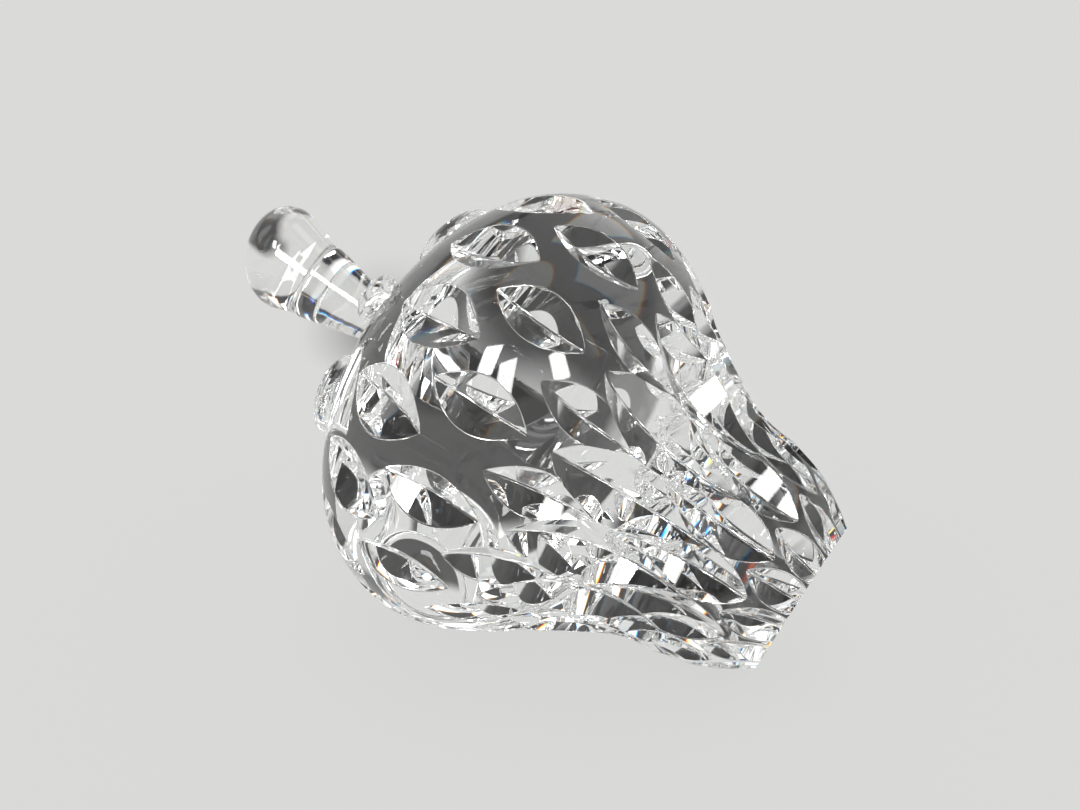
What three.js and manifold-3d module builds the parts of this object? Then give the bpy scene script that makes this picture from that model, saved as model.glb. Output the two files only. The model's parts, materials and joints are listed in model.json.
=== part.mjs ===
// A solid strawberry of clear cut crystal: a paperweight, here lying on its side, stem end raised.
//
// Each piece is built upright on the berry's own axis, +Z from the flat polished foot to the stem.
// The whole assembly is then laid down until its foot and its belly touch the ground, with the stem
// towards -X. The origin is on the ground under the middle of the laid object. Lengths are in
// millimetres and angles in degrees.

import * as THREE from "three";
import { mergeVertices } from "three/addons/utils/BufferGeometryUtils.js";
import Module from "manifold-3d";

const wasm = await Module();
wasm.setup();

// Outline of the berry from the foot up: each diameter, and how far it lies above the one before
const foot_diameter = 26.4;
const swell_rise = 4;
const swell_diameter = 32;
const heel_rise = 5.5;
const heel_diameter = 37.4;
const waist_rise = 7.1;
const waist_diameter = 41.4;
const neck_rise = 7.2;
const neck_diameter = 45.8;
const flank_rise = 14.6;
const flank_diameter = 64.4;
const belly_rise = 14.8;
const belly_diameter = 76;
const shoulder_rise = 15;
const shoulder_diameter = 66.2;
const crown_rise = 9.2;
const crown_diameter = 41;
const land_rise = 4.6;
const land_diameter = 11.6;

// Mitre cuts: a wheel with a V edge cuts each of them along the berry
const cuts_in_ring = 15;
const wheel_edge_angle = 120;
const wheel_edge_depth = 5;

// Rings A to C: heights of a cut's two tips from the belly, and the radius of the wheel
const ring_a_low = 3.8;
const ring_a_high = 18.6;
const ring_a_wheel = 22;
const ring_b_low = -9.3;
const ring_b_high = 6.1;
const ring_b_wheel = 27;
const ring_c_low = -22.1;
const ring_c_high = -6.9;
const ring_c_wheel = 25;

// Rings D to F: heights of a cut's two tips from the foot, and the radius of the wheel
const ring_d_low = 14.8;
const ring_d_high = 40;
const ring_d_wheel = 22;
const ring_e_low = 6.3;
const ring_e_high = 26.3;
const ring_e_wheel = 22;
const ring_f_low = -3.8;
const ring_f_high = 8.6;
const ring_f_wheel = 22;

// Stem: a rod with a peg below, a slowly widening shaft, a fine groove, and a flared round head that
// hand work has left a little slanted and leaning, towards one side
const peg_diameter = 5.6;
const peg_length = 9;
const peg_chamfer = 0.6;
const shaft_length = 13.8;
const shaft_foot_diameter = 7.4;
const shaft_top_diameter = 13.5;
const groove_depth = 0.3;
const head_diameter = 17;
const head_flare_rise = 7.1;
const head_dome_rise = 6.9;
const head_slant_angle = 8;
const head_lean_angle = 3.3;
const head_slant_direction = 33;

// Leaves of the calyx: pointed domes lying outwards on the crown, each with a groove along its middle.
// They sit round a middle that lies a little to one side of the stem's.
const leaf_angles = [24, 96, 168, 240, 308];
const calyx_shift = 1.6;
const calyx_shift_direction = 33;
const leaf_setback = 5.4;
const leaf_length = 16;
const leaf_width = 8.4;
const leaf_height = 3.9;
const leaf_dome_length = 15;
const leaf_dome_width = 11.2;
const leaf_top_share = 0.6;
const vein_depth = 1.1;
const vein_angle = 100;
const vein_wheel = 34;

// Room for the film of clear cement, and how finely each round surface is divided
const bond_gap = 0.3;
const berry_sides = 60;
const outline_steps = 28;
const wheel_sides = 32;
const stem_sides = 32;
const head_steps = 4;
const leaf_sides = 12;
const weld_distance = 1e-4;

const TURN = 2 * Math.PI;
const crystal = { color: 0xf2f7f8, roughness: 0.03, metalness: 0 };

// Closed mesh to solid and back, for joins and cuts

function toSolid(geometry) {
  const bare = geometry.clone();
  bare.deleteAttribute("normal");
  bare.deleteAttribute("uv");
  const merged = mergeVertices(bare, weld_distance);
  return new wasm.Manifold(
    new wasm.Mesh({
      numProp: 3,
      vertProperties: merged.attributes.position.array,
      triVerts: new Uint32Array(merged.index.array),
    }),
  );
}

function toGeometry(solid) {
  const mesh = solid.getMesh();
  const geometry = new THREE.BufferGeometry();
  geometry.setAttribute(
    "position",
    new THREE.BufferAttribute(new Float32Array(mesh.vertProperties), 3),
  );
  geometry.setIndex(new THREE.BufferAttribute(new Uint32Array(mesh.triVerts), 1));
  geometry.computeVertexNormals();
  return geometry;
}

// A point in plan, at a distance and an angle in degrees from +X
function plan(distance, angle) {
  return new THREE.Vector2(distance, 0).rotateAround(
    new THREE.Vector2(),
    THREE.MathUtils.degToRad(angle),
  );
}

// A profile of (radius, height) points spun about +Z, starting half a side round from +X
function spin(profile, sides) {
  const geometry = new THREE.LatheGeometry(profile, sides, TURN / sides / 2, TURN);
  return geometry.rotateX(Math.PI / 2);
}

// The berry's outline as a smooth curve through its stations

const foot_height = 0;
const swell_height = foot_height + swell_rise;
const heel_height = swell_height + heel_rise;
const waist_height = heel_height + waist_rise;
const neck_height = waist_height + neck_rise;
const flank_height = neck_height + flank_rise;
const belly_height = flank_height + belly_rise;
const shoulder_height = belly_height + shoulder_rise;
const crown_height = shoulder_height + crown_rise;
const land_height = crown_height + land_rise;

const stations = [
  [foot_diameter, foot_height],
  [swell_diameter, swell_height],
  [heel_diameter, heel_height],
  [waist_diameter, waist_height],
  [neck_diameter, neck_height],
  [flank_diameter, flank_height],
  [belly_diameter, belly_height],
  [shoulder_diameter, shoulder_height],
  [crown_diameter, crown_height],
  [land_diameter, land_height],
];
const outlineCurve = new THREE.CatmullRomCurve3(
  stations.map(([diameter, height]) => new THREE.Vector3(diameter / 2, height, 0)),
  false,
  "centripetal",
);
const outline = outlineCurve
  .getSpacedPoints(outline_steps)
  .map((point) => new THREE.Vector2(point.x, point.y));

// Outline point at a height. Below the foot and above the land the outline goes on in a straight line.
function outlinePoint(height) {
  const above = outline.findIndex((point) => point.y > height);
  const upper = above < 0 ? outline.length - 1 : Math.max(above, 1);
  const [a, b] = [outline[upper - 1], outline[upper]];
  return a.clone().lerp(b, (height - a.y) / (b.y - a.y));
}

// The berry as turned, grown outwards by a gap
function turnedBerry(gap) {
  const grown = outline.map((point, i) => {
    const before = outline[Math.max(i - 1, 0)];
    const after = outline[Math.min(i + 1, outline.length - 1)];
    const along = after.clone().sub(before).normalize();
    return new THREE.Vector2(point.x + gap * along.y, point.y - gap * along.x);
  });
  const profile = [
    new THREE.Vector2(0, -gap),
    new THREE.Vector2(grown[0].x, -gap),
    ...grown.slice(gap > 0 ? 0 : 1, -1),
    new THREE.Vector2(grown.at(-1).x, land_height + gap),
    new THREE.Vector2(0, land_height + gap),
  ];
  return toSolid(spin(profile, berry_sides));
}

// A cutting wheel with a V edge, its axle along Y
function mitreWheel(radius, angle) {
  const half = wheel_edge_depth * Math.tan(THREE.MathUtils.degToRad(angle / 2));
  const profile = [
    new THREE.Vector2(0, -half),
    new THREE.Vector2(radius - wheel_edge_depth, -half),
    new THREE.Vector2(radius, 0),
    new THREE.Vector2(radius - wheel_edge_depth, half),
    new THREE.Vector2(0, half),
  ];
  return new THREE.LatheGeometry(profile, wheel_sides);
}

// Wheel centre that puts the wheel's edge through the outline at both heights
function wheelCentre(low, high, radius) {
  const from = outlinePoint(low);
  const to = outlinePoint(high);
  const chord = to.clone().sub(from);
  const half = chord.length() / 2;
  const outwards = new THREE.Vector2(chord.y, -chord.x).normalize();
  const reach = Math.sqrt(Math.max(radius ** 2 - half ** 2, 0));
  return from.add(to).multiplyScalar(0.5).addScaledVector(outwards, reach);
}

// Every second ring is turned by half a step, so that its cuts lie between those of its neighbours
const rings = [
  { low: belly_height + ring_a_low, high: belly_height + ring_a_high, wheel: ring_a_wheel, shift: 0 },
  { low: belly_height + ring_b_low, high: belly_height + ring_b_high, wheel: ring_b_wheel, shift: 0.5 },
  { low: belly_height + ring_c_low, high: belly_height + ring_c_high, wheel: ring_c_wheel, shift: 0 },
  { low: ring_d_low, high: ring_d_high, wheel: ring_d_wheel, shift: 0.5 },
  { low: ring_e_low, high: ring_e_high, wheel: ring_e_wheel, shift: 0 },
  { low: ring_f_low, high: ring_f_high, wheel: ring_f_wheel, shift: 0.5 },
];

function makeBerry() {
  const socket_radius = peg_diameter / 2 + bond_gap;
  const socket_depth = peg_length + bond_gap;
  const drill = new THREE.CylinderGeometry(
    socket_radius,
    socket_radius,
    socket_depth * 2,
    stem_sides,
  ).rotateX(Math.PI / 2);
  let berry = turnedBerry(0).subtract(toSolid(drill.translate(0, 0, land_height)));
  for (const ring of rings) {
    const centre = wheelCentre(ring.low, ring.high, ring.wheel);
    const wheel = mitreWheel(ring.wheel, wheel_edge_angle).translate(centre.x, 0, centre.y);
    for (let i = 0; i < cuts_in_ring; i++) {
      const turned = wheel.clone().rotateZ(((i + ring.shift) * TURN) / cuts_in_ring);
      berry = berry.subtract(toSolid(turned));
    }
  }
  return toGeometry(berry);
}

function makeStem() {
  const peg_radius = peg_diameter / 2;
  const shaft_top_radius = shaft_top_diameter / 2;
  const head_radius = head_diameter / 2;
  const peg_bottom = land_height - peg_length;
  const foot = land_height + bond_gap;
  const groove = foot + shaft_length;
  const widest = groove + head_flare_rise;
  const profile = new THREE.Path();
  profile.moveTo(0, peg_bottom);
  profile.lineTo(peg_radius - peg_chamfer, peg_bottom);
  profile.lineTo(peg_radius, peg_bottom + peg_chamfer);
  profile.lineTo(peg_radius, foot);
  profile.lineTo(shaft_foot_diameter / 2, foot);
  profile.lineTo(shaft_top_radius, groove - groove_depth);
  profile.lineTo(shaft_top_radius - groove_depth, groove);
  profile.lineTo(shaft_top_radius, groove + groove_depth);
  // The head flares as a cone that touches its round end, where the end's slope is the cone's
  const across = shaft_top_radius / head_radius;
  const below = head_flare_rise / head_dome_rise;
  const touch = Math.acos(1 / Math.hypot(across, below)) - Math.atan2(below, across);
  profile.absellipse(0, widest, head_radius, head_dome_rise, touch, Math.PI / 2);
  const points = profile.getPoints(head_steps);
  points.at(-1).x = 0;
  return slantHead(spin(points, stem_sides), groove);
}

// Shears all that lies above the groove: its end rises towards one side, and the head leans there
function slantHead(geometry, groove) {
  const aside = plan(1, head_slant_direction);
  const slant = Math.tan(THREE.MathUtils.degToRad(head_slant_angle));
  const lean = Math.tan(THREE.MathUtils.degToRad(head_lean_angle));
  const place = geometry.attributes.position;
  for (let i = 0; i < place.count; i++) {
    const rise = Math.max(place.getZ(i) - groove, 0);
    const eased = THREE.MathUtils.smoothstep(rise, 0, head_flare_rise);
    const side = place.getX(i) * aside.x + place.getY(i) * aside.y;
    place.setXYZ(
      i,
      place.getX(i) + aside.x * rise * lean,
      place.getY(i) + aside.y * rise * lean,
      place.getZ(i) + eased * slant * side,
    );
  }
  return geometry;
}

// Plan of the leaf's middle, round the calyx's own middle
function leafMiddle(angle) {
  const radius = shaft_foot_diameter / 2 + leaf_setback + leaf_dome_length / 2;
  return plan(radius, angle).add(plan(calyx_shift, calyx_shift_direction));
}

// A point of the outline where a leaf's middle lies, X outwards down the slope of the crown and Z square to it
function leafPlace(radius) {
  const upper = outline.findLastIndex((point) => point.x > radius);
  const [a, b] = [outline[upper], outline[upper + 1]];
  const share = (radius - a.x) / (b.x - a.x);
  const slope = Math.atan2(b.y - a.y, a.x - b.x);
  return new THREE.Matrix4()
    .makeTranslation(radius, 0, a.y + share * (b.y - a.y))
    .multiply(new THREE.Matrix4().makeRotationY(slope));
}

// One leaf at azimuth zero: a pointed oval cut from a dome that narrows upwards, grooved, and hollowed
// to fit the crown
function makeLeaf(radius) {
  const half_length = leaf_length / 2;
  const half_width = leaf_width / 2;
  const side = (half_length ** 2 + half_width ** 2) / (2 * half_width);
  const sweep = Math.asin(half_length / side);
  const oval = new THREE.Shape();
  oval.absarc(0, half_width - side, side, Math.PI / 2 - sweep, Math.PI / 2 + sweep);
  oval.absarc(0, side - half_width, side, -Math.PI / 2 - sweep, -Math.PI / 2 + sweep);
  const blank = new THREE.ExtrudeGeometry(oval, {
    depth: leaf_height * 2,
    bevelEnabled: false,
    curveSegments: leaf_sides / 2,
  }).translate(0, 0, -leaf_height);
  const dome = new THREE.SphereGeometry(1, leaf_sides * 2, leaf_sides).rotateX(Math.PI / 2);
  const ball = dome.attributes.position;
  for (let i = 0; i < ball.count; i++) {
    const narrowing = 1 - (1 - leaf_top_share) * Math.max(ball.getZ(i), 0);
    ball.setY(i, ball.getY(i) * narrowing);
  }
  dome.scale(leaf_dome_length / 2, leaf_dome_width / 2, leaf_height);
  const vein = mitreWheel(vein_wheel, vein_angle);
  vein.translate(0, 0, leaf_height - vein_depth + vein_wheel);

  const place = leafPlace(radius);
  const leaf = toSolid(blank.applyMatrix4(place))
    .intersect(toSolid(dome.applyMatrix4(place)))
    .subtract(toSolid(vein.applyMatrix4(place)))
    .subtract(turnedBerry(bond_gap));
  return toGeometry(leaf);
}

// Lean from the upright that lets both the foot and the belly touch the ground, with -X downwards
function restingAngle(geometry) {
  const place = geometry.attributes.position;
  const drop = (angle) => {
    let foot = Infinity;
    let belly = Infinity;
    for (let i = 0; i < place.count; i++) {
      const height = place.getZ(i) * Math.sin(angle) + place.getX(i) * Math.cos(angle);
      if (place.getZ(i) < waist_height) foot = Math.min(foot, height);
      else belly = Math.min(belly, height);
    }
    return foot - belly;
  };
  let [low, high] = [0, Math.PI / 2];
  while (high - low > Number.EPSILON * TURN) {
    const mid = (low + high) / 2;
    if (drop(mid) > 0) low = mid;
    else high = mid;
  }
  return low;
}

function named(name, geometry) {
  const mesh = new THREE.Mesh(geometry, new THREE.MeshStandardMaterial(crystal));
  mesh.name = name;
  return mesh;
}

const berry = named("berry_body", makeBerry());
const stem = named("stem", makeStem());
const upright = new THREE.Group();
upright.add(berry, stem);

leaf_angles.forEach((angle, i) => {
  const middle = leafMiddle(angle);
  const mesh = named(`calyx_leaf_${i + 1}`, makeLeaf(middle.length()));
  mesh.rotation.z = middle.angle();
  upright.add(mesh);
});

// Laid on its side, then moved so that the ground is at zero and the middle is over the origin
upright.rotation.y = restingAngle(berry.geometry) - Math.PI / 2;
const paperweight = new THREE.Group();
paperweight.add(upright);
paperweight.updateMatrixWorld(true);
const extent = new THREE.Box3().setFromObject(paperweight, true);
const middle = extent.getCenter(new THREE.Vector3());
upright.position.set(-middle.x, -middle.y, -extent.min.z);
paperweight.updateMatrixWorld(true);

export default paperweight;
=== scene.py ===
"""Looks of a solid cut crystal strawberry paperweight that lies on its side on a pale floor.

Each piece is modelled upright on the berry's own axis, +Z from the flat polished foot to the stem,
in millimetres. One matrix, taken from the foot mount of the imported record, then lays it down in the
frame, in metres.
"""

from __future__ import annotations

import json
import logging
import math
import random
from dataclasses import dataclass, field
from enum import IntEnum
from functools import cached_property

import bmesh
import bpy
import numpy as np
from mathutils import Euler, Matrix, Vector


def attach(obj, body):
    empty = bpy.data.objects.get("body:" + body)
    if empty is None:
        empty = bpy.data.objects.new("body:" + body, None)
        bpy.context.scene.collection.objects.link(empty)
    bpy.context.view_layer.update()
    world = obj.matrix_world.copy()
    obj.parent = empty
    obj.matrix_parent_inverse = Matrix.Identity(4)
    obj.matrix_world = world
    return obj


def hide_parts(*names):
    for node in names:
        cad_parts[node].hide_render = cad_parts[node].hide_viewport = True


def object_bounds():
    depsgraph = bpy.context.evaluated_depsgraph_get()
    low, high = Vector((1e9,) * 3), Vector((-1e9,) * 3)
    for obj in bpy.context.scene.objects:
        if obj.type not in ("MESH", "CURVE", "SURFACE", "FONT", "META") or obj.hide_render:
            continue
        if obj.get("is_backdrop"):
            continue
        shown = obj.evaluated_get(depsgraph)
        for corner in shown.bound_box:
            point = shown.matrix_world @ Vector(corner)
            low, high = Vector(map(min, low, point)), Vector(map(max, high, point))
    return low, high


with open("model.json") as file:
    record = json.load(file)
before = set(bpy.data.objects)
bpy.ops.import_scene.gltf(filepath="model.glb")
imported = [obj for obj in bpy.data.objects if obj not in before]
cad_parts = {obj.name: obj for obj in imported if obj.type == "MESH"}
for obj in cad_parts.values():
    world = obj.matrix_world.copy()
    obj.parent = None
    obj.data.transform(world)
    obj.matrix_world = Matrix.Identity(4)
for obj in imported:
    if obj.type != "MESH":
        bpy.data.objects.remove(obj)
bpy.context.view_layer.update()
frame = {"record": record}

MM = 0.001
TURN = 2 * math.pi
BODY = "root"
TOUCHING = 1e-4
SHARP = math.radians(26)
LEAF_SHARP = math.radians(50)
log = logging.getLogger("paperweight")


class Ground(IntEnum):
    """How a face of the berry was finished, as its material's index until the berry is laid."""

    POLISHED = 0
    CUT = 1


# Helpers for meshes


def new_object(name: str, bm: bmesh.types.BMesh) -> bpy.types.Object:
    """Makes a linked object from a bmesh and frees the bmesh.

    Args:
        name: The object's name.
        bm: The finished bmesh.

    Returns:
        The new object, at the origin.
    """
    mesh = bpy.data.meshes.new(name)
    bm.to_mesh(mesh)
    bm.free()
    made = bpy.data.objects.new(name, mesh)
    bpy.context.scene.collection.objects.link(made)
    return made


def spun(profile: list[Vector], steps: int) -> bmesh.types.BMesh:
    """Spins an open profile, both ends on the axis, a full turn about +Z.

    Args:
        profile: Points in the XZ plane.
        steps: Sides round the axis.

    Returns:
        A closed bmesh with its faces pointing out.
    """
    bm = bmesh.new()
    points = [bm.verts.new(point) for point in profile]
    edges = [bm.edges.new(pair) for pair in zip(points, points[1:])]
    bmesh.ops.spin(
        bm,
        geom=points + edges,
        cent=(0, 0, 0),
        axis=(0, 0, 1),
        angle=TURN,
        steps=steps,
        use_merge=True,
    )
    bmesh.ops.remove_doubles(bm, verts=bm.verts, dist=TOUCHING)
    bmesh.ops.recalc_face_normals(bm, faces=bm.faces)
    return bm


def arc(
    centre: Vector,
    across: float,
    up: float,
    start: float,
    end: float,
    steps: int,
) -> list[Vector]:
    """Points along an arc of an upright ellipse in the XZ plane.

    Args:
        centre: The ellipse's centre.
        across: Its half width.
        up: Its half height.
        start: Angle of the first point, from +X towards +Z.
        end: Angle of the last point.
        steps: Steps between them.

    Returns:
        The points in order.
    """
    angles = [start + (end - start) * i / steps for i in range(steps + 1)]
    return [centre + Vector((across * math.cos(a), 0, up * math.sin(a))) for a in angles]


@dataclass(frozen=True)
class WheelEdge:
    """Edge of a cutting wheel: a V with a worn flat, eased on both sides."""

    half_angle: float = math.radians(60)
    land: float = 0.26
    ease: float = 0.13
    reach: float = 6.5

    def section(self, radius: float) -> list[tuple[float, float]]:
        """Section of the wheel's edge.

        Args:
            radius: Radius of the wheel.

        Returns:
            Points as (distance from the axle, place along the axle), in order round the section.
        """
        slope = math.pi / 2 - self.half_angle
        half = self.land / 2
        eased = (radius - self.ease * math.sin(slope / 2), half + self.ease * math.cos(slope / 2))
        wide = (radius - self.reach, eased[1] + (self.reach - radius + eased[0]) / math.tan(slope))
        side = [(radius, half), eased, wide]
        return side + [(out, -along) for out, along in reversed(side)]


def wheel_sweep(
    bm: bmesh.types.BMesh,
    edge: WheelEdge,
    centre: Vector,
    radius: float,
    start: float,
    end: float,
    steps: int,
    turn: Matrix,
) -> None:
    """Adds the space that a wheel sweeps through, as one closed solid.

    Args:
        bm: The bmesh to add to.
        edge: The wheel's edge.
        centre: Centre of the wheel, whose axle lies along Y.
        radius: Radius of the wheel.
        start: Angle in the XZ plane where the sweep starts.
        end: Angle where it ends.
        steps: Steps along the sweep.
        turn: Placement of the finished sweep.
    """
    along = Vector((math.cos(start), 0, math.sin(start)))
    section = edge.section(radius)
    corners = [bm.verts.new(centre + along * out + Vector((0, side, 0))) for out, side in section]
    face = bm.faces.new(corners)
    before = set(bm.verts) - set(corners)
    bmesh.ops.spin(
        bm,
        geom=[face, *face.edges, *corners],
        cent=centre,
        axis=(0, -1, 0),
        angle=end - start,
        steps=steps,
    )
    swept = [vert for vert in bm.verts if vert not in before]
    faces = list({face for vert in swept for face in vert.link_faces})
    bmesh.ops.recalc_face_normals(bm, faces=faces)
    bmesh.ops.transform(bm, matrix=turn, verts=swept)


def cut_with(target: bpy.types.Object, cutters: list[bpy.types.Object], operation: str) -> None:
    """Applies one boolean for each cutter to the target and deletes the cutters.

    Args:
        target: The object to change.
        cutters: The objects to cut with.
        operation: DIFFERENCE or INTERSECT.
    """
    for cutter in cutters:
        step = target.modifiers.new("cut", "BOOLEAN")
        step.operation = operation
        step.solver = "MANIFOLD"
        step.object = cutter
    keep_modifiers(target)
    for cutter in cutters:
        bpy.data.objects.remove(cutter)


def keep_modifiers(target: bpy.types.Object) -> None:
    """Makes what the object's modifiers show its own mesh.

    Args:
        target: The object.
    """
    bpy.context.view_layer.update()
    shape = bpy.data.meshes.new_from_object(target.evaluated_get(bpy.context.evaluated_depsgraph_get()))
    target.modifiers.clear()
    target.data = shape


@dataclass(frozen=True)
class Outline:
    """Outline of the berry, as a smooth curve through (radius, height) stations from foot to land."""

    stations: tuple[tuple[float, float], ...] = (
        (13.2, 0.0),
        (16.0, 4.0),
        (18.7, 9.5),
        (20.7, 16.6),
        (22.9, 23.8),
        (32.2, 38.4),
        (38.0, 53.2),
        (33.1, 68.2),
        (20.5, 77.4),
        (5.8, 82.0),
    )
    rows: int = 150

    @cached_property
    def curve(self) -> np.ndarray:
        """Samples a natural cubic spline through the stations at even steps along it.

        Returns:
            An array of (radius, height) rows.
        """
        knots = np.array(self.stations)
        place = np.concatenate([[0.0], np.cumsum(np.hypot(*np.diff(knots, axis=0).T))])
        step = np.diff(place)
        slope = np.diff(knots, axis=0) / step[:, None]
        system = np.eye(len(place))
        wanted = np.zeros_like(knots)
        for i in range(1, len(place) - 1):
            system[i, i - 1 : i + 2] = step[i - 1], 2 * (step[i - 1] + step[i]), step[i]
            wanted[i] = 6 * (slope[i] - slope[i - 1])
        bend = np.linalg.solve(system, wanted)
        at = np.linspace(0, place[-1], self.rows + 1)
        k = np.clip(np.searchsorted(place, at, side="right") - 1, 0, len(step) - 1)
        h = step[k][:, None]
        ahead = (place[k + 1] - at)[:, None]
        behind = (at - place[k])[:, None]
        cubic = (bend[k] * ahead**3 + bend[k + 1] * behind**3) / (6 * h)
        linear = (knots[k] / h - bend[k] * h / 6) * ahead + (knots[k + 1] / h - bend[k + 1] * h / 6) * behind
        return cubic + linear

    @property
    def height(self) -> float:
        """Height of the crown's land."""
        return self.stations[-1][1]

    def radius(self, height: np.ndarray) -> np.ndarray:
        """Radius of the skin at heights. Past either end it stays as it is there."""
        return np.interp(height, *self.curve.T[::-1])

    def normal(self, height: np.ndarray) -> np.ndarray:
        """Outward direction of the skin at heights.

        Args:
            height: Heights above the foot.

        Returns:
            Rows of its parts away from the axis and upwards.
        """
        along = np.gradient(self.curve, axis=0)
        out, up = (np.interp(height, self.curve[:, 1], part) for part in (along[:, 1], -along[:, 0]))
        return np.stack([out, up], -1) / np.hypot(out, up)[:, None]

    def at(self, height: float) -> Vector:
        """Outline point at a height. Past either end the outline goes on in a straight line.

        Args:
            height: Height above the foot.

        Returns:
            The point, with its radius as x and its height as z.
        """
        points = self.curve
        upper = int(np.clip(np.searchsorted(points[:, 1], height), 1, len(points) - 1))
        low, high = points[upper - 1], points[upper]
        share = (height - low[1]) / (high[1] - low[1])
        radius, level = low + (high - low) * share
        return Vector((radius, 0, level))

    def profile(self, grow: float = 0.0) -> list[Vector]:
        """Closed profile of the turned berry, from the axis at the foot to the axis at the land.

        Args:
            grow: How far to move the outline outwards.

        Returns:
            Points in the XZ plane.
        """
        points = self.curve
        along = np.gradient(points, axis=0)
        along /= np.hypot(*along.T)[:, None]
        moved = points + grow * np.stack([along[:, 1], -along[:, 0]], -1)
        skin = [Vector((radius, 0, level)) for radius, level in moved]
        return [Vector((0, 0, skin[0].z)), *skin, Vector((0, 0, skin[-1].z))]


@dataclass(frozen=True)
class MitreRing:
    """One ring of mitre cuts: heights of a cut's two tips, the wheel's radius, and a turn in steps."""

    low: float
    high: float
    wheel_radius: float
    shift: float


@dataclass(frozen=True)
class MitreCut:
    """The space that the wheel takes out for one mitre cut, with the rim of the cut eased by polishing.

    Sections stand square to the wheel's edge. In them, a point is given by its rise from the lowest
    line of the cut towards the axle, and by its place along the axle.
    """

    outline: Outline
    wheel: WheelEdge
    radius: float
    rim_ease: float
    least_ease: float = 0.02
    spill: float = 1.35
    flare: tuple[float, float] = (0.6, 0.25)
    halvings: int = 30

    def add(
        self,
        bm: bmesh.types.BMesh,
        low: Vector,
        high: Vector,
        overrun: float,
        steps: int,
        turn: Matrix,
    ) -> None:
        """Adds the cut to a mesh as one closed solid.

        Args:
            bm: The bmesh to add to.
            low: Tip of the cut near the foot, in the XZ plane.
            high: Its other tip.
            overrun: How far the wheel goes past each tip.
            steps: Steps along the sweep.
            turn: Placement of the finished solid.
        """
        chord = high - low
        outwards = Vector((chord.z, 0, -chord.x)).normalized()
        centre = (low + high) / 2 + outwards * math.sqrt(self.radius**2 - (chord.length / 2) ** 2)
        start, end = (math.atan2(tip.z - centre.z, tip.x - centre.x) % TURN for tip in (high, low))
        spare = overrun / self.radius
        angles = np.linspace(start - spare, end + spare, steps + 1)
        sections = self.sections(centre, angles)

        corner = bm.verts.layers.int.get("corner") or bm.verts.layers.int.new("corner")
        before = set(bm.verts)
        places = [self.place(centre, angles[0], rise, side) for rise, side in sections[0]]
        corners = [bm.verts.new(place) for place in places]
        for i, vert in enumerate(corners):
            vert[corner] = i
        face = bm.faces.new(corners)
        bmesh.ops.spin(
            bm,
            geom=[face, *face.edges, *corners],
            cent=centre,
            axis=(0, -1, 0),
            angle=angles[-1] - angles[0],
            steps=steps,
        )
        swept = [vert for vert in bm.verts if vert not in before]
        for vert in swept:
            angle = math.atan2(vert.co.z - centre.z, vert.co.x - centre.x) % TURN
            step = round((angle - angles[0]) / (angles[1] - angles[0]))
            vert.co = self.place(centre, angles[step], *sections[step][vert[corner]])
        faces = list({face for vert in swept for face in vert.link_faces})
        bmesh.ops.recalc_face_normals(bm, faces=faces)
        bmesh.ops.transform(bm, matrix=turn, verts=swept)

    def place(self, centre: Vector, angle: float, rise: float, side: float) -> Vector:
        """Turns a section's point into a place.

        Args:
            centre: Centre of the wheel.
            angle: The section's angle in the XZ plane.
            rise: Rise from the wheel's edge towards the axle.
            side: Place along the axle.

        Returns:
            The place.
        """
        out = self.radius - rise
        return centre + Vector((out * math.cos(angle), side, out * math.sin(angle)))

    def sections(self, centre: Vector, angles: np.ndarray) -> np.ndarray:
        """Works out the sections of the sweep.

        Args:
            centre: Centre of the wheel.
            angles: Angles of the sections in the XZ plane.

        Returns:
            For each section, its corners as (rise, side), in order round it.
        """
        wheel = self.wheel
        slope = math.pi / 2 - wheel.half_angle
        foot = wheel.ease * math.sin(slope / 2)
        foot_side = wheel.land / 2 + wheel.ease * math.cos(slope / 2)
        towards = np.stack([np.cos(angles), np.sin(angles)], -1)
        middle = np.array([centre.x, centre.z])

        def skin(rise: np.ndarray) -> tuple[np.ndarray, np.ndarray, np.ndarray]:
            """Follows the cut's flank up to a rise.

            Args:
                rise: The rise in each section.

            Returns:
                Place along the axle, point in the outline's plane, and distance outside the skin.
            """
            side = foot_side + (rise - foot) * math.tan(wheel.half_angle)
            spot = middle + towards * (self.radius - rise)[:, None]
            return side, spot, np.hypot(spot[:, 0], side) - self.outline.radius(spot[:, 1])

        lower = np.full(len(angles), foot)
        upper = np.full(len(angles), wheel.reach)
        for _ in range(self.halvings):
            half = (lower + upper) / 2
            inside = skin(half)[2] < 0
            lower = np.where(inside, half, lower)
            upper = np.where(inside, upper, half)
        rise = np.maximum(upper, foot + self.least_ease)
        side, spot, _ = skin(rise)
        flank = np.array([math.cos(wheel.half_angle), math.sin(wheel.half_angle)])
        room = (rise - foot) / flank[0]
        ease = np.clip(room / 2, self.least_ease / 2, self.rim_ease)[:, None]

        normal = self.outline.normal(spot[:, 1])
        girth = np.hypot(spot[:, 0], side)
        facing = np.stack([normal[:, 0] * spot[:, 0] / girth, normal[:, 1]], -1)
        square = np.stack([-(facing * towards).sum(-1), normal[:, 0] * side / girth], -1)
        square /= np.hypot(*square.T)[:, None]
        along = np.stack([-square[:, 1], square[:, 0]], -1)
        bend = np.arccos(np.clip(along @ flank, -1, 1))[:, None]
        inwards = along - flank
        inwards /= np.hypot(*inwards.T)[:, None]

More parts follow.
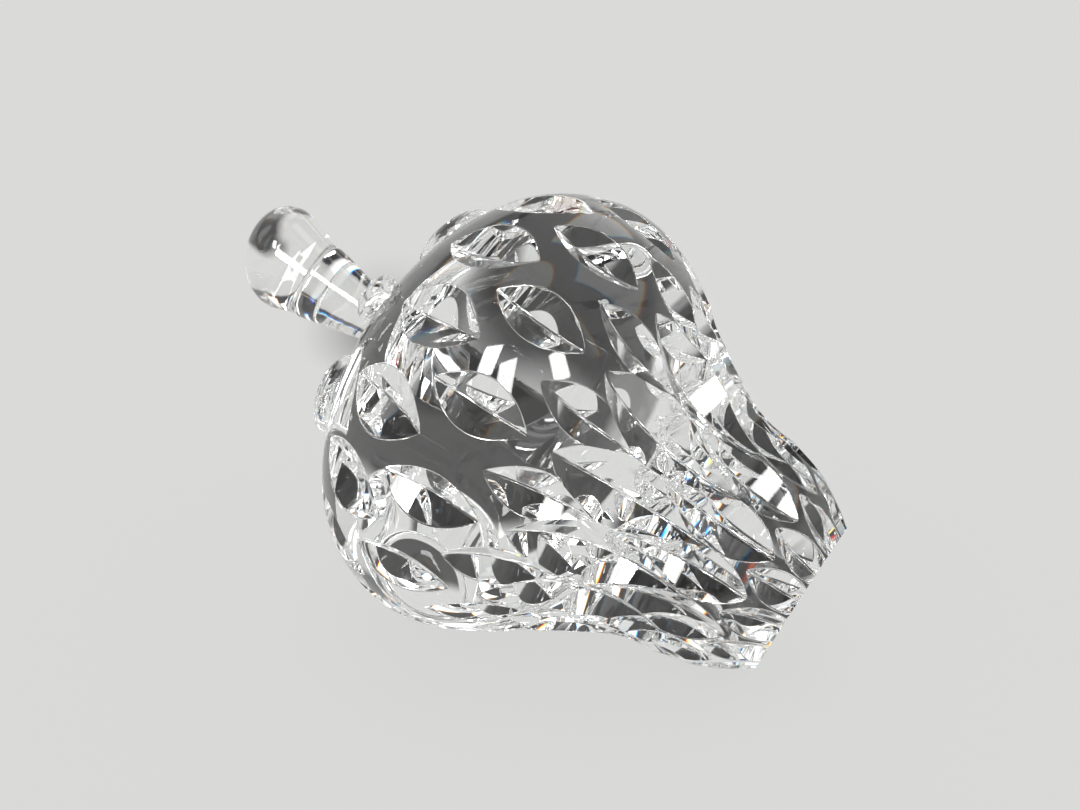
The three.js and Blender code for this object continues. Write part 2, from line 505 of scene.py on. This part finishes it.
        rim = np.stack([rise, side], -1)
        on_flank = rim - flank * ease
        between = rim + inwards * ease * np.tan(bend / 4)
        on_skin = between + (rim + along * ease - between) * self.spill
        flared = on_skin + square * self.flare[0] + along * self.flare[1]
        top = np.stack([np.full(len(angles), wheel.reach), flared[:, 1]], -1)
        lowest = np.broadcast_to([0.0, wheel.land / 2], rim.shape)
        eased = np.broadcast_to([foot, foot_side], rim.shape)
        half = np.stack([lowest, eased, on_flank, between, on_skin, flared, top], 1)
        return np.concatenate([half, half[:, ::-1] * (1, -1)], 1)


@dataclass
class Berry:
    """The solid berry: a turned block with six staggered rings of mitre cuts and a flat foot."""

    outline: Outline = field(default_factory=Outline)
    rings: tuple[MitreRing, ...] = (
        MitreRing(57.0, 71.8, 22.0, 0.0),
        MitreRing(43.9, 59.3, 27.0, 0.5),
        MitreRing(31.1, 46.3, 25.0, 0.0),
        MitreRing(14.8, 40.0, 22.0, 0.5),
        MitreRing(6.3, 26.3, 22.0, 0.0),
        MitreRing(-3.8, 8.6, 22.0, 0.5),
    )
    cuts_in_ring: int = 15
    batches: int = 3
    wheel: WheelEdge = field(default_factory=WheelEdge)
    rim_ease: float = 0.17
    overrun: float = 2.6
    sides: int = 240
    degrees_in_step: float = 1.4
    spare_steps: int = 8
    weld: float = 0.02
    hand_turn: float = math.radians(0.2)
    hand_slide: float = 0.08
    seed: int = 7

    def build(self) -> bpy.types.Object:
        """Spins the block and cuts its rings.

        Returns:
            The berry, upright and in millimetres.
        """
        berry = new_object("cut_berry", spun(self.outline.profile(), self.sides))
        hand = random.Random(self.seed)
        cutters = [self.batch(ring, part, hand) for ring in self.rings for part in range(self.batches)]
        cut_with(berry, cutters, "DIFFERENCE")
        bm = bmesh.new()
        bm.from_mesh(berry.data)
        bmesh.ops.remove_doubles(bm, verts=bm.verts, dist=self.weld)
        bmesh.ops.dissolve_degenerate(bm, edges=bm.edges, dist=self.weld)
        bm.to_mesh(berry.data)
        bm.free()
        return berry

    def batch(self, ring: MitreRing, part: int, hand: random.Random) -> bpy.types.Object:
        """One object with every third cut of a ring, so that no two of its solids touch.

        Args:
            ring: The ring to cut.
            part: Which of the three sets of cuts.
            hand: Small differences of hand work.

        Returns:
            The cutter.
        """
        cut = MitreCut(self.outline, self.wheel, ring.wheel_radius, self.rim_ease)
        bm = bmesh.new()
        for i in range(part, self.cuts_in_ring, self.batches):
            slide = hand.gauss(0, self.hand_slide)
            low = self.outline.at(ring.low + slide + hand.gauss(0, self.hand_slide) / 2)
            high = self.outline.at(ring.high + slide + hand.gauss(0, self.hand_slide) / 2)
            azimuth = (i + ring.shift) * TURN / self.cuts_in_ring + hand.gauss(0, self.hand_turn)
            reach = (high - low).length / ring.wheel_radius
            steps = round(math.degrees(reach) / self.degrees_in_step) + self.spare_steps
            cut.add(bm, low, high, self.overrun, steps, Matrix.Rotation(azimuth, 4, "Z"))
        for face in bm.faces:
            face.material_index = Ground.CUT
        return new_object("wheels", bm)


@dataclass
class Stem:
    """The stem: a rod whose shaft widens to a bead, then a head that flares to a rounded, slanted end."""

    foot_height: float = 82.0
    foot_radius: float = 3.7
    groove_height: float = 96.1
    rim_radius: float = 6.75
    bead_depth: float = 0.3
    bead_rise: float = 0.7
    head_radius: float = 8.5
    head_middle: float = 7.1
    head_end: float = 6.9
    slant: float = math.radians(8)
    lean: float = math.radians(3.3)
    slant_towards: float = math.radians(33)
    arc_steps: int = 40
    sides: int = 160

    def build(self) -> bpy.types.Object:
        """Spins the stem's profile and slants its head.

        Returns:
            The stem, upright and in millimetres.
        """
        bead = Vector((self.rim_radius - self.bead_depth, 0, self.groove_height - self.bead_rise))
        middle = Vector((0, 0, self.groove_height + self.head_middle))
        profile = [
            Vector((0, 0, self.foot_height)),
            Vector((self.foot_radius, 0, self.foot_height)),
            *arc(bead, self.bead_depth, self.bead_rise, 0, TURN / 4, self.arc_steps // 4),
            *arc(middle, self.head_radius, self.head_end, self.touch(), TURN / 4, self.arc_steps),
        ]
        bm = spun(profile, self.sides)
        aside = Vector((math.cos(self.slant_towards), math.sin(self.slant_towards), 0))
        for vert in bm.verts:
            rise = max(vert.co.z - self.groove_height, 0)
            share = min(rise / self.head_middle, 1)
            eased = share * share * (3 - 2 * share)
            vert.co.z += eased * math.tan(self.slant) * vert.co.dot(aside)
            vert.co += aside * rise * math.tan(self.lean)
        return new_object("flared_stem", bm)

    def touch(self) -> float:
        """Angle on the head's round end at which a cone from the groove's rim touches it.

        Returns:
            The angle, from the head's widest place upwards.
        """
        across = self.rim_radius / self.head_radius
        below = self.head_middle / self.head_end
        return math.acos(1 / math.hypot(across, below)) - math.atan2(below, across)


@dataclass
class Calyx:
    """Five pointed leaves on the crown, each a dome with a groove along its middle."""

    outline: Outline = field(default_factory=Outline)
    angles: tuple[float, ...] = (24, 96, 168, 240, 308)
    centre_radius: float = 16.6
    shift: float = 1.6
    shift_towards: float = math.radians(33)
    length: float = 16.0
    width: float = 8.4
    height: float = 3.9
    dome_length: float = 15.0
    dome_width: float = 11.2
    pinch: float = 0.4
    vein_depth: float = 1.1
    vein_wheel: float = 34.0
    vein_edge: WheelEdge = field(default_factory=lambda: WheelEdge(math.radians(50), 0.3, 0.2, 3.9))
    seat: float = 0.02
    weld: float = 0.12
    softenings: int = 4
    softening: float = 0.5
    arc_steps: int = 24
    crown_sides: int = 120

    def build(self) -> list[bpy.types.Object]:
        """Builds the leaves round the stem. The calyx sits a little to one side of the berry's axis.

        Returns:
            The leaves, in place on the upright berry, in millimetres.
        """
        leaves = []
        for i, degrees in enumerate(self.angles):
            angle = math.radians(degrees)
            x = self.centre_radius * math.cos(angle) + self.shift * math.cos(self.shift_towards)
            y = self.centre_radius * math.sin(angle) + self.shift * math.sin(self.shift_towards)
            leaf = self.leaf(math.hypot(x, y))
            leaf.name = f"grooved_leaf_{i + 1}"
            leaf.data.transform(Matrix.Rotation(math.atan2(y, x), 4, "Z"))
            leaves.append(leaf)
        return leaves

    def place(self, radius: float) -> Matrix:
        """Where a leaf's middle lies on the crown, X outwards down its slope and Z square to it.

        Args:
            radius: The middle's distance from the berry's axis.

        Returns:
            The placement at azimuth zero.
        """
        points = self.outline.curve
        upper = int(np.nonzero(points[:, 0] > radius)[0][-1])
        a, b = points[upper], points[upper + 1]
        share = (radius - a[0]) / (b[0] - a[0])
        slope = math.atan2(b[1] - a[1], a[0] - b[0])
        middle = Vector((radius, 0, a[1] + share * (b[1] - a[1])))
        return Matrix.Translation(middle) @ Matrix.Rotation(slope, 4, "Y")

    def leaf(self, radius: float) -> bpy.types.Object:
        """One leaf at azimuth zero.

        Args:
            radius: Distance of its middle from the berry's axis.

        Returns:
            The leaf's object.
        """
        place = self.place(radius)
        dome = bmesh.new()
        around, rows = 4 * self.arc_steps, 2 * self.arc_steps
        bmesh.ops.create_uvsphere(dome, u_segments=around, v_segments=rows, radius=1)
        for vert in dome.verts:
            vert.co.y *= 1 - self.pinch * max(vert.co.z, 0)
        scale = Matrix.Diagonal((self.dome_length / 2, self.dome_width / 2, self.height, 1))
        bmesh.ops.transform(dome, matrix=place @ scale, verts=dome.verts)
        leaf = new_object("leaf", dome)

        cut_with(leaf, [self.blank(place)], "INTERSECT")
        vein = bmesh.new()
        lowest = self.height - self.vein_depth
        span = self.length / self.vein_wheel
        wheel_sweep(
            vein,
            edge=self.vein_edge,
            centre=Vector((0, 0, lowest + self.vein_wheel)),
            radius=self.vein_wheel,
            start=-TURN / 4 - span / 2,
            end=-TURN / 4 + span / 2,
            steps=2 * self.arc_steps,
            turn=place,
        )
        crown = new_object("crown", spun(self.outline.profile(self.seat), self.crown_sides))
        cut_with(leaf, [new_object("vein", vein), crown], "DIFFERENCE")
        bm = bmesh.new()
        bm.from_mesh(leaf.data)
        bmesh.ops.remove_doubles(bm, verts=bm.verts, dist=self.weld)
        bmesh.ops.dissolve_degenerate(bm, edges=bm.edges, dist=self.weld)
        bmesh.ops.triangulate(bm, faces=bm.faces)
        for _ in range(self.softenings):
            bmesh.ops.smooth_vert(
                bm,
                verts=bm.verts,
                factor=self.softening,
                use_axis_x=True,
                use_axis_y=True,
                use_axis_z=True,
            )
        bm.to_mesh(leaf.data)
        bm.free()
        return leaf

    def blank(self, place: Matrix) -> bpy.types.Object:
        """The pointed oval that bounds the leaf in plan, as a tall prism.

        Args:
            place: The leaf's placement.

        Returns:
            The prism.
        """
        half_length, half_width = self.length / 2, self.width / 2
        side = (half_length**2 + half_width**2) / (2 * half_width)
        sweep = math.asin(half_length / side)
        bend = [sweep - 2 * sweep * i / self.arc_steps for i in range(self.arc_steps)]
        upper = [(side * math.sin(a), side * math.cos(a) - side + half_width) for a in bend]
        rim = upper + [(-x, -y) for x, y in upper]
        bm = bmesh.new()
        face = bm.faces.new([bm.verts.new((x, y, -self.height)) for x, y in rim])
        risen = bmesh.ops.extrude_face_region(bm, geom=[face])["geom"]
        top = [part for part in risen if isinstance(part, bmesh.types.BMVert)]
        bmesh.ops.translate(bm, verts=top, vec=(0, 0, 3 * self.height))
        bmesh.ops.recalc_face_normals(bm, faces=bm.faces)
        bmesh.ops.transform(bm, matrix=place, verts=bm.verts)
        return new_object("blank", bm)


class Wiring:
    """Adds nodes to a node tree and links them."""

    def __init__(self, tree: bpy.types.NodeTree) -> None:
        """Takes the tree to work on."""
        self.nodes = tree.nodes
        self.links = tree.links

    def add(self, kind: str, *values: object, **settings: object) -> bpy.types.Node:
        """Adds a node.

        Args:
            kind: The node's type, without its leading ShaderNode.
            values: What goes into its first inputs: sockets, numbers, or None to leave one alone.
            settings: The node's own settings.

        Returns:
            The node.
        """
        node = self.nodes.new("ShaderNode" + kind)
        for name, setting in settings.items():
            setattr(node, name, setting)
        for socket, value in zip(node.inputs, values):
            self.fill(socket, value)
        return node

    def fill(self, socket: bpy.types.NodeSocket, value: object) -> None:
        """Links a socket to another one, or sets its number."""
        if isinstance(value, bpy.types.NodeSocket):
            self.links.new(value, socket)
        elif value is not None:
            socket.default_value = value

    def math(self, operation: str, *values: object) -> bpy.types.NodeSocket:
        """Adds a sum of numbers and gives its result."""
        return self.add("Math", *values, operation=operation).outputs[0]

    def vector(self, operation: str, *values: object) -> bpy.types.NodeSocket:
        """Adds a sum of vectors and gives the result that the operation has."""
        outputs = self.add("VectorMath", *values, operation=operation).outputs
        return outputs["Value" if operation in ("DOT_PRODUCT", "LENGTH") else "Vector"]

    def ease(self, value: object, start: object, end: object) -> bpy.types.NodeSocket:
        """Adds a soft step from 0 at the start to 1 at the end."""
        return self.add("MapRange", value, start, end, interpolation_type="SMOOTHSTEP").outputs["Result"]

    def blend(self, share: object, first: object, second: object) -> bpy.types.NodeSocket:
        """Adds a blend of two colours and gives its result."""
        node = self.add("Mix", data_type="RGBA")
        for name, value in (("Factor", share), ("A", first), ("B", second)):
            fits = (socket for socket in node.inputs if socket.enabled and socket.name == name)
            self.fill(next(fits), value)
        return next(socket for socket in node.outputs if socket.enabled)


def finish_group() -> bpy.types.ShaderNodeTree:
    """Builds the surface that all the crystal shares: soft waves, fine lines and a trace of cloud.

    Returns:
        The node group. Its places and sizes are in millimetres.
    """
    tree = bpy.data.node_groups.new("crystal finish", "ShaderNodeTree")
    sockets = tree.interface
    sockets.new_socket("Place", in_out="INPUT", socket_type="NodeSocketVector")
    for name in ("Wave Size", "Wave Height", "Line Width", "Line Height", "Roughness", "Cloud"):
        sockets.new_socket(name, in_out="INPUT", socket_type="NodeSocketFloat")
    for name in ("Tint", "Cloud Tint"):
        sockets.new_socket(name, in_out="INPUT", socket_type="NodeSocketColor")
    sockets.new_socket("Colour", in_out="OUTPUT", socket_type="NodeSocketColor")
    sockets.new_socket("Roughness", in_out="OUTPUT", socket_type="NodeSocketFloat")
    sockets.new_socket("Height", in_out="OUTPUT", socket_type="NodeSocketFloat")
    line_stretch = (1, 1, 0.04)
    cloud_scale, mist_roughness = 0.22, 0.08
    cloud_from, cloud_to = 0.45, 0.75
    streak_from, streak_to = 0.5, 0.8
    wires = Wiring(tree)
    given = tree.nodes.new("NodeGroupInput")
    put = {socket.name: socket for socket in given.outputs}
    wave_scale = wires.math("DIVIDE", 1.0, put["Wave Size"])
    waves = wires.add("TexNoise", put["Place"], None, wave_scale, 2.0, 0.5).outputs[0]
    line_scale = wires.math("DIVIDE", 1.0, put["Line Width"])
    long_place = wires.vector("MULTIPLY", put["Place"], line_stretch)
    lines = wires.add("TexNoise", long_place, None, line_scale, 3.0, 0.6).outputs[0]
    height = wires.math(
        "ADD",
        wires.math("MULTIPLY", waves, put["Wave Height"]),
        wires.math("MULTIPLY", lines, put["Line Height"]),
    )
    cloud = wires.add("TexNoise", put["Place"], None, cloud_scale, 4.0, 0.6).outputs[0]
    clouded = wires.math("MULTIPLY", wires.ease(cloud, cloud_from, cloud_to), put["Cloud"])
    streaked = wires.math("MULTIPLY", wires.ease(lines, streak_from, streak_to), put["Cloud"])
    mist = wires.math("MAXIMUM", clouded, streaked)
    rough = wires.math("ADD", put["Roughness"], wires.math("MULTIPLY", mist, mist_roughness))
    colour = wires.blend(mist, put["Tint"], put["Cloud Tint"])
    shown = tree.nodes.new("NodeGroupOutput")
    for socket, value in zip(shown.inputs, (colour, rough, height)):
        wires.fill(socket, value)
    return tree


@dataclass(frozen=True)
class Crystal:
    """A clear crystal finish. Sizes are in millimetres."""

    name: str
    tint: tuple[float, float, float]
    cloud_tint: tuple[float, float, float]
    wave_size: float
    wave_height: float
    line_width: float
    line_height: float
    roughness: float
    cloud: float
    ior: float = 1.55
    shadow: float = 0.1

    def material(self, group: bpy.types.ShaderNodeTree, upright: Matrix) -> bpy.types.Material:
        """Builds the finish as a glass that lets some lamp light through to what lies behind it.

        Args:
            group: The surface that all the crystal shares.
            upright: The matrix from the upright berry to the frame.

        Returns:
            The material.
        """
        material = bpy.data.materials.new(self.name)
        material.use_nodes = True
        wires = Wiring(material.node_tree)
        coordinates = wires.add("TexCoord").outputs["Object"]
        turn = upright.to_euler("XYZ")
        placing = (coordinates, upright.translation, turn, (MM, MM, MM))
        place = wires.add("Mapping", *placing, vector_type="TEXTURE")
        surface = wires.nodes.new("ShaderNodeGroup")
        surface.node_tree = group
        values = (
            place.outputs["Vector"],
            self.wave_size,
            self.wave_height,
            self.line_width,
            self.line_height,
            self.roughness,
            self.cloud,
            (*self.tint, 1),
            (*self.cloud_tint, 1),
        )
        for socket, value in zip(surface.inputs, values):
            wires.fill(socket, value)
        bump = wires.add("Bump")
        bump.inputs["Strength"].default_value = 1
        bump.inputs["Distance"].default_value = MM
        wires.fill(bump.inputs["Height"], surface.outputs["Height"])
        glass = wires.nodes["Principled BSDF"]
        wires.fill(glass.inputs["Base Color"], surface.outputs["Colour"])
        wires.fill(glass.inputs["Roughness"], surface.outputs["Roughness"])
        wires.fill(glass.inputs["Normal"], bump.outputs["Normal"])
        glass.inputs["IOR"].default_value = self.ior
        glass.inputs["Transmission Weight"].default_value = 1
        clear = wires.add("BsdfTransparent", (self.shadow, self.shadow, self.shadow, 1)).outputs["BSDF"]
        seen = wires.add("LightPath").outputs["Is Shadow Ray"]
        mix = wires.add("MixShader", seen, glass.outputs["BSDF"], clear).outputs["Shader"]
        wires.fill(wires.nodes["Material Output"].inputs["Surface"], mix)
        return material


CLEAR, MISTY = (0.985, 0.995, 0.992), (0.93, 0.94, 0.94)
WARM_CLEAR, WARM_MISTY = (0.985, 0.985, 0.975), (0.93, 0.925, 0.90)
FINISHES = (
    Crystal(
        name="berry crystal, polished",
        tint=CLEAR,
        cloud_tint=MISTY,
        wave_size=9.0,
        wave_height=0.004,
        line_width=0.4,
        line_height=0.0001,
        roughness=0.0,
        cloud=0.08,
    ),
    Crystal(
        name="berry crystal, cut",
        tint=CLEAR,
        cloud_tint=MISTY,
        wave_size=2.5,
        wave_height=0.003,
        line_width=0.12,
        line_height=0.0006,
        roughness=0.004,
        cloud=0.5,
    ),
    Crystal(
        name="stem crystal",
        tint=WARM_CLEAR,
        cloud_tint=WARM_MISTY,
        wave_size=2.2,
        wave_height=0.02,
        line_width=0.3,
        line_height=0.001,
        roughness=0.004,
        cloud=0.6,
    ),
    Crystal(
        name="leaf crystal",
        tint=CLEAR,
        cloud_tint=MISTY,
        wave_size=2.0,
        wave_height=0.01,
        line_width=0.2,
        line_height=0.0006,
        roughness=0.003,
        cloud=0.4,
    ),
)


def facing(azimuth: float, elevation: float) -> Vector:
    """Direction towards a place in the studio.

    Args:
        azimuth: Degrees from +Y towards +X.
        elevation: Degrees above the floor.

    Returns:
        The unit vector.
    """
    turn, rise = math.radians(azimuth), math.radians(elevation)
    return Vector((math.sin(turn) * math.cos(rise), math.cos(turn) * math.cos(rise), math.sin(rise)))


@dataclass(frozen=True)
class Window:
    """A small bright window of the studio, seen in the glass, with its size in degrees."""

    azimuth: float
    elevation: float
    width: float
    height: float
    colour: tuple[float, float, float]
    blur: float = 0.03

    def mask(self, wires: Wiring, direction: bpy.types.NodeSocket) -> bpy.types.NodeSocket:
        """Adds nodes that are 1 where a direction meets the window.

        Args:
            wires: The world's tree.
            direction: The direction looked at.

        Returns:
            The mask.
        """
        ahead = facing(self.azimuth, self.elevation)
        right = ahead.cross(Vector((0, 0, 1))).normalized()
        depth = wires.vector("DOT_PRODUCT", direction, ahead)
        parts = [wires.math("GREATER_THAN", depth, 0.0)]
        for axis, size in ((right, self.width), (right.cross(ahead), self.height)):
            half = math.tan(math.radians(size / 2))
            aside = wires.math("DIVIDE", wires.vector("DOT_PRODUCT", direction, axis), depth)
            off = wires.math("ABSOLUTE", aside)
            parts.append(wires.ease(off, half + self.blur / 2, half - self.blur / 2))
        return wires.math("MULTIPLY", wires.math("MULTIPLY", parts[0], parts[1]), parts[2])


@dataclass
class Studio:
    """Pale floor that fades into a pale horizon, an even key lamp, and a dark ceiling with bright panels."""

    floor_radius: float = 1.6
    floor_fade: float = 0.7
    floor_sides: int = 96
    floor_roughness: float = 0.9
    floor_drop: float = 0.00005
    floor_colour: tuple[float, float, float] = (0.72, 0.72, 0.71)
    horizon_colour: tuple[float, float, float] = (0.70, 0.70, 0.69)
    ceiling_colour: tuple[float, float, float] = (0.05, 0.05, 0.052)
    panel_colour: tuple[float, float, float] = (1.3, 1.3, 1.3)
    fill: float = 0.07
    key_azimuth: float = 153.0
    key_elevation: float = 24.0
    key_angle: float = math.radians(10)
    key_strength: float = 7.0
    horizon_top: float = math.radians(16)
    ceiling_start: float = math.radians(22)
    panels_round: int = 7
    panel_first: float = math.radians(205)
    panel_low: float = math.radians(24)
    panel_high: float = math.radians(60)
    top_panel: float = math.radians(74)
    panel_soft: float = math.radians(1.5)
    panel_edge: float = 0.1
    front: float = 150.0
    front_gap: float = math.radians(52)
    front_fade: float = 0.45
    fringe: float = math.radians(0.7)
    windows: tuple[Window, ...] = (
        Window(169.9, 46.2, 12.0, 16.0, (26.0, 26.0, 26.5)),
        Window(113.1, 29.0, 8.0, 14.0, (26.0, 25.5, 24.0)),
        Window(149.5, 32.0, 11.0, 22.0, (20.0, 20.0, 20.0)),
    )
    camera_place: tuple[float, float, float] = (0.10914, -0.21293, 0.13906)
    camera_azimuth: float = math.radians(26.74)
    camera_pitch: float = math.radians(22.93)
    camera_roll: float = math.radians(-1.36)
    sensor_width: float = 36.0
    lens: float = 53.03
    glass_bounces: int = 40
    glossy_bounces: int = 24
    clear_bounces: int = 32

    def build(self, lowest: float) -> None:
        """Builds the stage, the key lamp, the sky and the camera.

        Args:
            lowest: Height of the object's lowest point.
        """
        self.floor(lowest - self.floor_drop)
        self.key()
        self.sky()
        self.camera()
        scene = bpy.context.scene
        scene.view_settings.view_transform = "Standard"
        scene.cycles.max_bounces = self.glass_bounces
        scene.cycles.transmission_bounces = self.glass_bounces
        scene.cycles.glossy_bounces = self.glossy_bounces
        scene.cycles.transparent_max_bounces = self.clear_bounces
        scene.cycles.caustics_refractive = False
        scene.cycles.caustics_reflective = False

    def floor(self, level: float) -> None:
        """Makes the pale floor, which fades away far from the object.

        Args:
            level: Its height.
        """
        bm = bmesh.new()
        bmesh.ops.create_circle(bm, cap_ends=True, segments=self.floor_sides, radius=self.floor_radius)
        bmesh.ops.translate(bm, verts=bm.verts, vec=(0, 0, level))
        floor = new_object("floor", bm)
        material = bpy.data.materials.new("pale floor")
        material.use_nodes = True
        wires = Wiring(material.node_tree)
        shader = wires.nodes["Principled BSDF"]
        shader.inputs["Base Color"].default_value = (*self.floor_colour, 1)
        shader.inputs["Roughness"].default_value = self.floor_roughness
        shader.inputs["Specular IOR Level"].default_value = 0
        away = wires.vector("LENGTH", wires.add("TexCoord").outputs["Object"])
        faded = wires.ease(away, self.floor_fade, self.floor_radius)
        clear = wires.add("BsdfTransparent").outputs["BSDF"]
        mix = wires.add("MixShader", faded, shader.outputs["BSDF"], clear).outputs["Shader"]
        wires.fill(wires.nodes["Material Output"].inputs["Surface"], mix)
        floor.data.materials.append(material)
        floor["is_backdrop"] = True

    def key(self) -> None:
        """Hangs the key lamp, far enough away to light the floor evenly."""
        lamp = bpy.data.lights.new("key", "SUN")
        lamp.angle = self.key_angle
        lamp.energy = self.key_strength
        hung = bpy.data.objects.new("key", lamp)
        towards = facing(self.key_azimuth, self.key_elevation)
        hung.rotation_euler = (-towards).to_track_quat("-Z", "Y").to_euler()
        bpy.context.scene.collection.objects.link(hung)

    def sky(self) -> None:
        """Makes the world: pale round the horizon, with bright panels and windows in a dark ceiling."""
        world = bpy.data.worlds.new("studio")
        bpy.context.scene.world = world
        world.use_nodes = True
        wires = Wiring(world.node_tree)
        direction = wires.add("TexCoord").outputs["Generated"]
        split = wires.add("SeparateXYZ", direction)
        rise = wires.math("ARCSINE", split.outputs["Z"])
        round_ = wires.math("ARCTAN2", split.outputs["X"], split.outputs["Y"])
        ahead = wires.vector("DOT_PRODUCT", direction, facing(self.front, 0))
        flat = wires.math("COSINE", rise)
        beside = wires.ease(wires.math("DIVIDE", ahead, flat), math.cos(self.front_gap), self.front_fade)
        bands = [self.panels(wires, rise, round_, beside, shift) for shift in (-self.fringe, 0, self.fringe)]
        tinted = wires.add("CombineColor", *bands).outputs["Color"]
        panels = wires.vector("MULTIPLY", tinted, self.panel_colour)
        ceiling = wires.vector("MAXIMUM", panels, self.ceiling_colour)
        low = wires.ease(rise, self.horizon_top, self.ceiling_start)
        colour = wires.blend(low, (*self.horizon_colour, 1), ceiling)
        for window in self.windows:
            colour = wires.blend(window.mask(wires, direction), colour, (*window.colour, 1))
        path = wires.add("LightPath").outputs
        seen = wires.math("MAXIMUM", path["Is Camera Ray"], path["Is Glossy Ray"])
        seen = wires.math("MAXIMUM", seen, path["Is Transmission Ray"])
        shown = wires.blend(seen, (self.fill, self.fill, self.fill, 1), colour)
        wires.fill(wires.nodes["Background"].inputs["Color"], shown)

    def panels(
        self,
        wires: Wiring,
        rise: bpy.types.NodeSocket,
        round_: bpy.types.NodeSocket,
        beside: bpy.types.NodeSocket,
        shift: float,
    ) -> bpy.types.NodeSocket:
        """Adds the ceiling's panels in one of the three colours, a little aside, for faint colour fringes.

        Args:
            wires: The world's tree.
            rise: Angle of the direction above the floor.
            round_: Its angle round the studio.
            beside: 1 away from the front, where there are no panels.
            shift: How far this colour lies aside.

        Returns:
            The brightness.
        """
        soft = self.panel_soft
        aside = wires.math("SUBTRACT", round_, self.panel_first + shift)
        turned = wires.math("MULTIPLY", aside, self.panels_round)
        across = wires.ease(wires.math("COSINE", turned), -self.panel_edge, self.panel_edge)
        low = wires.ease(rise, self.panel_low + shift, self.panel_low + shift + soft)
        high = wires.ease(rise, self.panel_high + shift + soft, self.panel_high + shift)
        wide = wires.math("MULTIPLY", across, beside)
        tall = wires.math("MULTIPLY", low, high)
        ring = wires.math("MULTIPLY", wide, tall)
        top = wires.ease(rise, self.top_panel + shift, self.top_panel + shift + soft)
        return wires.math("MAXIMUM", ring, top)

    def camera(self) -> None:
        """Places the camera at the photograph's viewing angle."""
        data = bpy.data.cameras.new("camera")
        data.sensor_width = self.sensor_width
        data.lens = self.lens
        camera = bpy.data.objects.new("camera", data)
        look = Euler((TURN / 4 - self.camera_pitch, 0, self.camera_azimuth), "XYZ").to_matrix()
        roll = Matrix.Rotation(self.camera_roll, 3, "Z")
        camera.matrix_world = Matrix.Translation(self.camera_place) @ (look @ roll).to_4x4()
        bpy.context.scene.collection.objects.link(camera)
        bpy.context.scene.camera = camera


def laying() -> Matrix:
    """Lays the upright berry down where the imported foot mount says, and turns millimetres to metres.

    Returns:
        The matrix from the upright berry to the frame.
    """
    foot = next(mount for mount in frame["record"]["mounts"] if mount["name"] == "foot")
    up = -Vector(foot["axis"]).normalized()
    across = Vector((0, 1, 0))
    turn = Matrix((across.cross(up), across, up)).transposed().to_4x4()
    return Matrix.Translation(foot["pos_m"]) @ turn @ Matrix.Scale(MM, 4)


def lay(
    piece: bpy.types.Object,
    matrix: Matrix,
    materials: list[bpy.types.Material],
    sharp: float,
) -> None:
    """Puts a piece in the frame, dresses it and smooths it between its sharp edges.

    Args:
        piece: The piece, upright and in millimetres.
        matrix: The placement.
        materials: Its materials, in the order of the faces' indices.
        sharp: The angle from which an edge is sharp.
    """
    piece.data.transform(matrix)
    # Emptying the slots also puts every face in the first one, so the berry's cut finish shows nowhere
    piece.data.materials.clear()
    for material in materials:
        piece.data.materials.append(material)
    piece.data.shade_smooth()
    piece.data.set_sharp_from_angle(angle=sharp)
    weigh = piece.modifiers.new("weighted normals", "WEIGHTED_NORMAL")
    weigh.keep_sharp = True
    log.info("%s: %d faces", piece.name, len(piece.data.polygons))


def true_skin(berry: bpy.types.Object, outline: Outline, upright: Matrix) -> None:
    """Gives the turned skin its exact normals up to the rims, so that the rims shine evenly.

    Args:
        berry: The berry, in the frame, with its modifiers live.
        outline: The skin's outline.
        upright: The matrix from the upright berry to the frame.
    """
    on_skin, within, below_land = 0.008, math.cos(math.radians(20)), outline.height - 0.1
    bpy.context.view_layer.update()
    shape = bpy.data.meshes.new_from_object(berry.evaluated_get(bpy.context.evaluated_depsgraph_get()))
    normals = np.empty((len(shape.loops), 3))
    shape.corner_normals.foreach_get("vector", normals.ravel())
    faces = np.repeat(np.arange(len(shape.polygons)), [face.loop_total for face in shape.polygons])
    flat = np.empty((len(shape.polygons), 3))
    shape.polygon_normals.foreach_get("vector", flat.ravel())
    points = np.empty(len(shape.loops), dtype=np.int32)
    shape.loops.foreach_get("vertex_index", points)
    places = np.empty((len(shape.vertices), 3))
    shape.vertices.foreach_get("co", places.ravel())

    back = np.array(upright.inverted())
    turn = np.array(upright.to_3x3().normalized())
    places = places @ back[:3, :3].T + back[:3, 3]
    girth = np.hypot(places[:, 0], places[:, 1])
    out, up = outline.normal(places[:, 2]).T
    spokes = places[:, :2] / np.maximum(girth, 1e-6)[:, None]
    exact = np.concatenate([spokes * out[:, None], up[:, None]], 1) @ turn.T
    near = (np.abs(girth - outline.radius(places[:, 2])) < on_skin) & (places[:, 2] < below_land)
    chosen = near[points] & ((flat[faces] * exact[points]).sum(1) > within)
    normals[chosen] = exact[points[chosen]]
    berry.modifiers.clear()
    berry.data.normals_split_custom_set(normals.tolist())
    bpy.data.meshes.remove(shape)


def main() -> None:
    """Builds the pieces and the studio in order."""
    matrix = laying()
    group = finish_group()
    skin, cut, rod, petal = (finish.material(group, matrix) for finish in FINISHES)

    berry = Berry().build()
    lay(berry, matrix, [skin, cut], SHARP)
    true_skin(berry, Outline(), matrix)
    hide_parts("berry_body")
    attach(berry, BODY)

    stem = Stem().build()
    lay(stem, matrix, [rod], SHARP)
    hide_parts("stem")
    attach(stem, BODY)

    for i, leaf in enumerate(Calyx().build()):
        lay(leaf, matrix, [petal], LEAF_SHARP)
        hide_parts(f"calyx_leaf_{i + 1}")
        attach(leaf, BODY)

    low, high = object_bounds()
    Studio().build(low.z)


if __name__ == "__main__":
    logging.basicConfig(level=logging.INFO, format="%(name)s: %(message)s")
    main()
